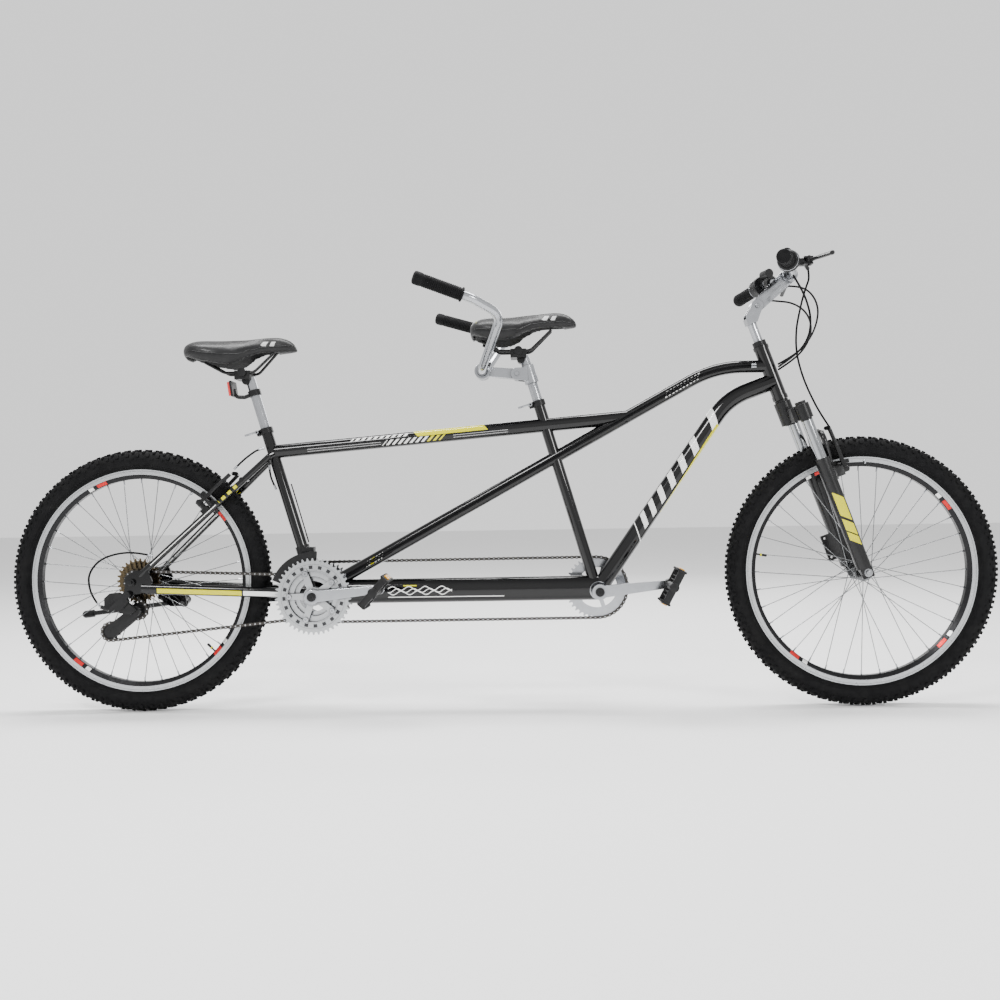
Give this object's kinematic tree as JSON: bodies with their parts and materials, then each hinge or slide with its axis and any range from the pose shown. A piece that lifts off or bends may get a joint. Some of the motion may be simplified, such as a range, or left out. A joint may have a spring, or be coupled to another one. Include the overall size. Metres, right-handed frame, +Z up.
{
  "type": "tandem bicycle",
  "caption": "Two-seat bicycle with linked cranks, suspension fork, rim brakes, chain drive with derailleurs, and rear handlebar clamped to the front seat post.",
  "frame": {"origin": "on the ground, midway between the two wheel axles, in the wheels' plane", "axes": "+X towards the front wheel, +Y to the riders' left, +Z up"},
  "size_m": [2.505, 0.5644, 1.124],
  "materials": {
    "frame_paint": "gloss",
    "black_metal": "satin",
    "polished": "polished",
    "bright_steel": "polished",
    "dark_steel": "satin",
    "brown_steel": "satin",
    "rim_metal": "machined sides",
    "tyre_rubber": "matte",
    "grip_rubber": "matte",
    "black_resin": "fine grain",
    "saddle_cover": "satin",
    "housing": "satin"
  },
  "bodies": {
    "frame": {"head_tube": "frame_paint", "top_tube": "frame_paint", "lateral_tube": "frame_paint", "down_tube": "frame_paint", "boom_tube": "frame_paint", "captain_seat_tube": "frame_paint", "stoker_seat_tube": "frame_paint", "bottom_brackets": "bright_steel", "seat_stays": "frame_paint", "chain_stays": "frame_paint", "dropouts": "black_metal", "rear_derailleur": "black_metal", "front_derailleur": "black_metal", "drive_chain": "dark_steel", "timing_chain": "dark_steel", "frame_cables": "housing", "seat_collars": "black_metal"},
    "steer": {"fork_crown": "frame_paint", "quill_stem": "polished", "loop_cables": "housing"},
    "bars": {"stem_extension": "polished", "handlebar": "polished", "grips": "grip_rubber", "lever_mounts": "black_metal"},
    "right_shifter": {"twist_shifter_right": "black_resin"},
    "left_shifter": {"twist_shifter_left": "black_resin"},
    "right_lever": {"brake_lever_right": "black_metal"},
    "left_lever": {"brake_lever_left": "black_metal"},
    "lowers": {"fork_lowers": "frame_paint", "front_axle": "bright_steel"},
    "front_wheel": {"front_tyre": "tyre_rubber", "front_rim": "rim_metal", "front_hub_spokes": "bright_steel"},
    "rear_wheel": {"rear_tyre": "tyre_rubber", "rear_rim": "rim_metal", "rear_hub_spokes": "bright_steel"},
    "front_arm_right": {"front_brake_arm_right": "black_metal"},
    "front_arm_left": {"front_brake_arm_left": "black_metal"},
    "rear_arm_right": {"rear_brake_arm_right": "black_metal"},
    "rear_arm_left": {"rear_brake_arm_left": "black_metal"},
    "cogs": {"freewheel": "brown_steel"},
    "captain_crank": {"captain_crankset": "polished"},
    "stoker_crank": {"stoker_crankset": "polished", "chainrings": "bright_steel"},
    "captain_right_pedal": {"captain_pedal_right": "black_resin"},
    "captain_left_pedal": {"captain_pedal_left": "black_resin"},
    "stoker_right_pedal": {"stoker_pedal_right": "black_resin"},
    "stoker_left_pedal": {"stoker_pedal_left": "black_resin"},
    "upper_pulley": {"guide_pulley": "black_resin"},
    "lower_pulley": {"tension_pulley": "black_resin"},
    "captain_seat": {"captain_post": "polished", "captain_saddle": "saddle_cover"},
    "stoker_seat": {"stoker_post": "polished", "stoker_saddle": "saddle_cover"},
    "stoker_bars": {"stoker_stem": "polished", "stoker_handlebar": "polished", "stoker_grips": "grip_rubber"},
    "stand": {"kickstand": "black_metal"},
    "stoker_quick_lever": {"stoker_collar_lever": "bright_steel"},
    "captain_quick_lever": {"captain_collar_lever": "bright_steel"}
  },
  "joints": [
    {"name": "steering", "type": "hinge", "parent": "frame", "child": "steer", "pos_m": [0.6811, 0, 0.89155], "axis": [-0.342, 0, 0.9397], "range_deg": [-60, 60], "deforming": ["loop_cables"]},
    {"name": "stem_angle", "type": "hinge", "parent": "steer", "child": "bars", "pos_m": [0.666, 0, 1.006], "axis": [0, 1, 0], "range_deg": [-15, 15], "deforming": ["loop_cables"]},
    {"name": "suspension", "type": "slide", "parent": "steer", "child": "lowers", "axis": [-0.342, 0, 0.9397], "range_m": [0, 0.06], "stiffness_N_per_m": 8000, "springref_m": -0.03, "deforming": ["loop_cables"]},
    {"name": "right_shift_twist", "type": "hinge", "parent": "bars", "child": "right_shifter", "pos_m": [0.70427, -0.17131, 1.08321], "axis": [0.3241, 0.9378, 0.1241], "range_deg": [-30, 60]},
    {"name": "left_shift_twist", "type": "hinge", "parent": "bars", "child": "left_shifter", "pos_m": [0.70427, 0.17131, 1.08321], "axis": [-0.3241, 0.9378, -0.1241], "range_deg": [-20, 50]},
    {"name": "right_brake_lever", "type": "hinge", "parent": "bars", "child": "right_lever", "pos_m": [0.767, -0.126, 1.091], "axis": [0, 0, -1], "range_deg": [0, 24], "stiffness_Nm_per_rad": 0.4, "springref_deg": -20.05},
    {"name": "left_brake_lever", "type": "hinge", "parent": "bars", "child": "left_lever", "pos_m": [0.767, 0.126, 1.091], "axis": [0, 0, 1], "range_deg": [0, 24], "stiffness_Nm_per_rad": 0.4, "springref_deg": -20.05},
    {"name": "front_brake_right", "type": "hinge", "parent": "lowers", "child": "front_arm_right", "pos_m": [0.86487, -0.04, 0.5913], "axis": [-0.9397, 0, -0.342], "range_deg": [0, 4.2]},
    {"name": "front_brake_left", "type": "hinge", "parent": "lowers", "child": "front_arm_left", "pos_m": [0.86487, 0.04, 0.5913], "axis": [0.9397, 0, 0.342], "range_deg": [0, 4.2]},
    {"name": "rear_brake_right", "type": "hinge", "parent": "frame", "child": "rear_arm_right", "pos_m": [-0.74506, -0.04, 0.53019], "axis": [-0.682, 0, 0.7314], "range_deg": [0, 4.2]},
    {"name": "rear_brake_left", "type": "hinge", "parent": "frame", "child": "rear_arm_left", "pos_m": [-0.74506, 0.04, 0.53019], "axis": [0.682, 0, -0.7314], "range_deg": [0, 4.2]},
    {"name": "front_wheel_spin", "type": "hinge", "parent": "lowers", "child": "front_wheel", "pos_m": [0.9145, 0, 0.338], "axis": [0, 1, 0], "continuous": true},
    {"name": "rear_wheel_spin", "type": "hinge", "parent": "frame", "child": "rear_wheel", "pos_m": [-0.9145, 0, 0.338], "axis": [0, 1, 0], "continuous": true},
    {"name": "captain_crank_turn", "type": "hinge", "parent": "frame", "child": "captain_crank", "pos_m": [0.2585, 0, 0.2995], "axis": [0, 1, 0], "continuous": true},
    {"name": "stoker_crank_turn", "type": "hinge", "parent": "frame", "child": "stoker_crank", "pos_m": [-0.4575, 0, 0.296], "axis": [0, 1, 0], "continuous": true},
    {"name": "freewheel_turn", "type": "hinge", "parent": "frame", "child": "cogs", "pos_m": [-0.9145, 0, 0.338], "axis": [0, 1, 0], "continuous": true},
    {"name": "guide_pulley_turn", "type": "hinge", "parent": "frame", "child": "upper_pulley", "pos_m": [-0.9075, -0.049, 0.2664], "axis": [0, 1, 0], "continuous": true},
    {"name": "tension_pulley_turn", "type": "hinge", "parent": "frame", "child": "lower_pulley", "pos_m": [-0.9797, -0.049, 0.212], "axis": [0, 1, 0], "continuous": true},
    {"name": "captain_post_height", "type": "slide", "parent": "frame", "child": "captain_seat", "axis": [-0.2823, 0, 0.9593], "range_m": [-0.03, 0.1]},
    {"name": "stoker_post_height", "type": "slide", "parent": "frame", "child": "stoker_seat", "axis": [-0.2823, 0, 0.9593], "range_m": [-0.06, 0.1]},
    {"name": "stoker_stem_angle", "type": "hinge", "parent": "captain_seat", "child": "stoker_bars", "pos_m": [0.061, 0, 0.849], "axis": [0, 1, 0], "range_deg": [-15, 20]},
    {"name": "kickstand_fold", "type": "hinge", "parent": "frame", "child": "stand", "pos_m": [-0.838, 0.092, 0.274], "axis": [0.0099, -0.9526, -0.3042], "range_deg": [0, 89]},
    {"name": "stoker_quick_release", "type": "hinge", "parent": "frame", "child": "stoker_quick_lever", "pos_m": [-0.60612, -0.0135, 0.71299], "axis": [0, 1, 0], "range_deg": [0, 90]},
    {"name": "captain_quick_release", "type": "hinge", "parent": "frame", "child": "captain_quick_lever", "pos_m": [0.09414, -0.0135, 0.76999], "axis": [0, 1, 0], "range_deg": [0, 90]},
    {"name": "captain_right_pedal_spin", "type": "hinge", "parent": "captain_crank", "child": "captain_right_pedal", "pos_m": [0.42757, -0.12, 0.31727], "axis": [0, 1, 0], "continuous": true},
    {"name": "captain_left_pedal_spin", "type": "hinge", "parent": "captain_crank", "child": "captain_left_pedal", "pos_m": [0.08943, 0.12, 0.28173], "axis": [0, 1, 0], "continuous": true},
    {"name": "stoker_right_pedal_spin", "type": "hinge", "parent": "stoker_crank", "child": "stoker_right_pedal", "pos_m": [-0.28843, -0.12, 0.31377], "axis": [0, 1, 0], "continuous": true},
    {"name": "stoker_left_pedal_spin", "type": "hinge", "parent": "stoker_crank", "child": "stoker_left_pedal", "pos_m": [-0.62657, 0.12, 0.27823], "axis": [0, 1, 0], "continuous": true}
  ],
  "couplings": [
    {"joint": "stoker_crank_turn", "follows": "captain_crank_turn", "ratio": 1},
    {"joint": "freewheel_turn", "follows": "captain_crank_turn", "ratio": 2},
    {"joint": "guide_pulley_turn", "follows": "captain_crank_turn", "ratio": -2.3636},
    {"joint": "tension_pulley_turn", "follows": "captain_crank_turn", "ratio": 2.3636},
    {"joint": "front_brake_right", "follows": "right_brake_lever", "ratio": 0.175},
    {"joint": "front_brake_left", "follows": "right_brake_lever", "ratio": 0.175},
    {"joint": "rear_brake_right", "follows": "left_brake_lever", "ratio": 0.175},
    {"joint": "rear_brake_left", "follows": "left_brake_lever", "ratio": 0.175}
  ]
}
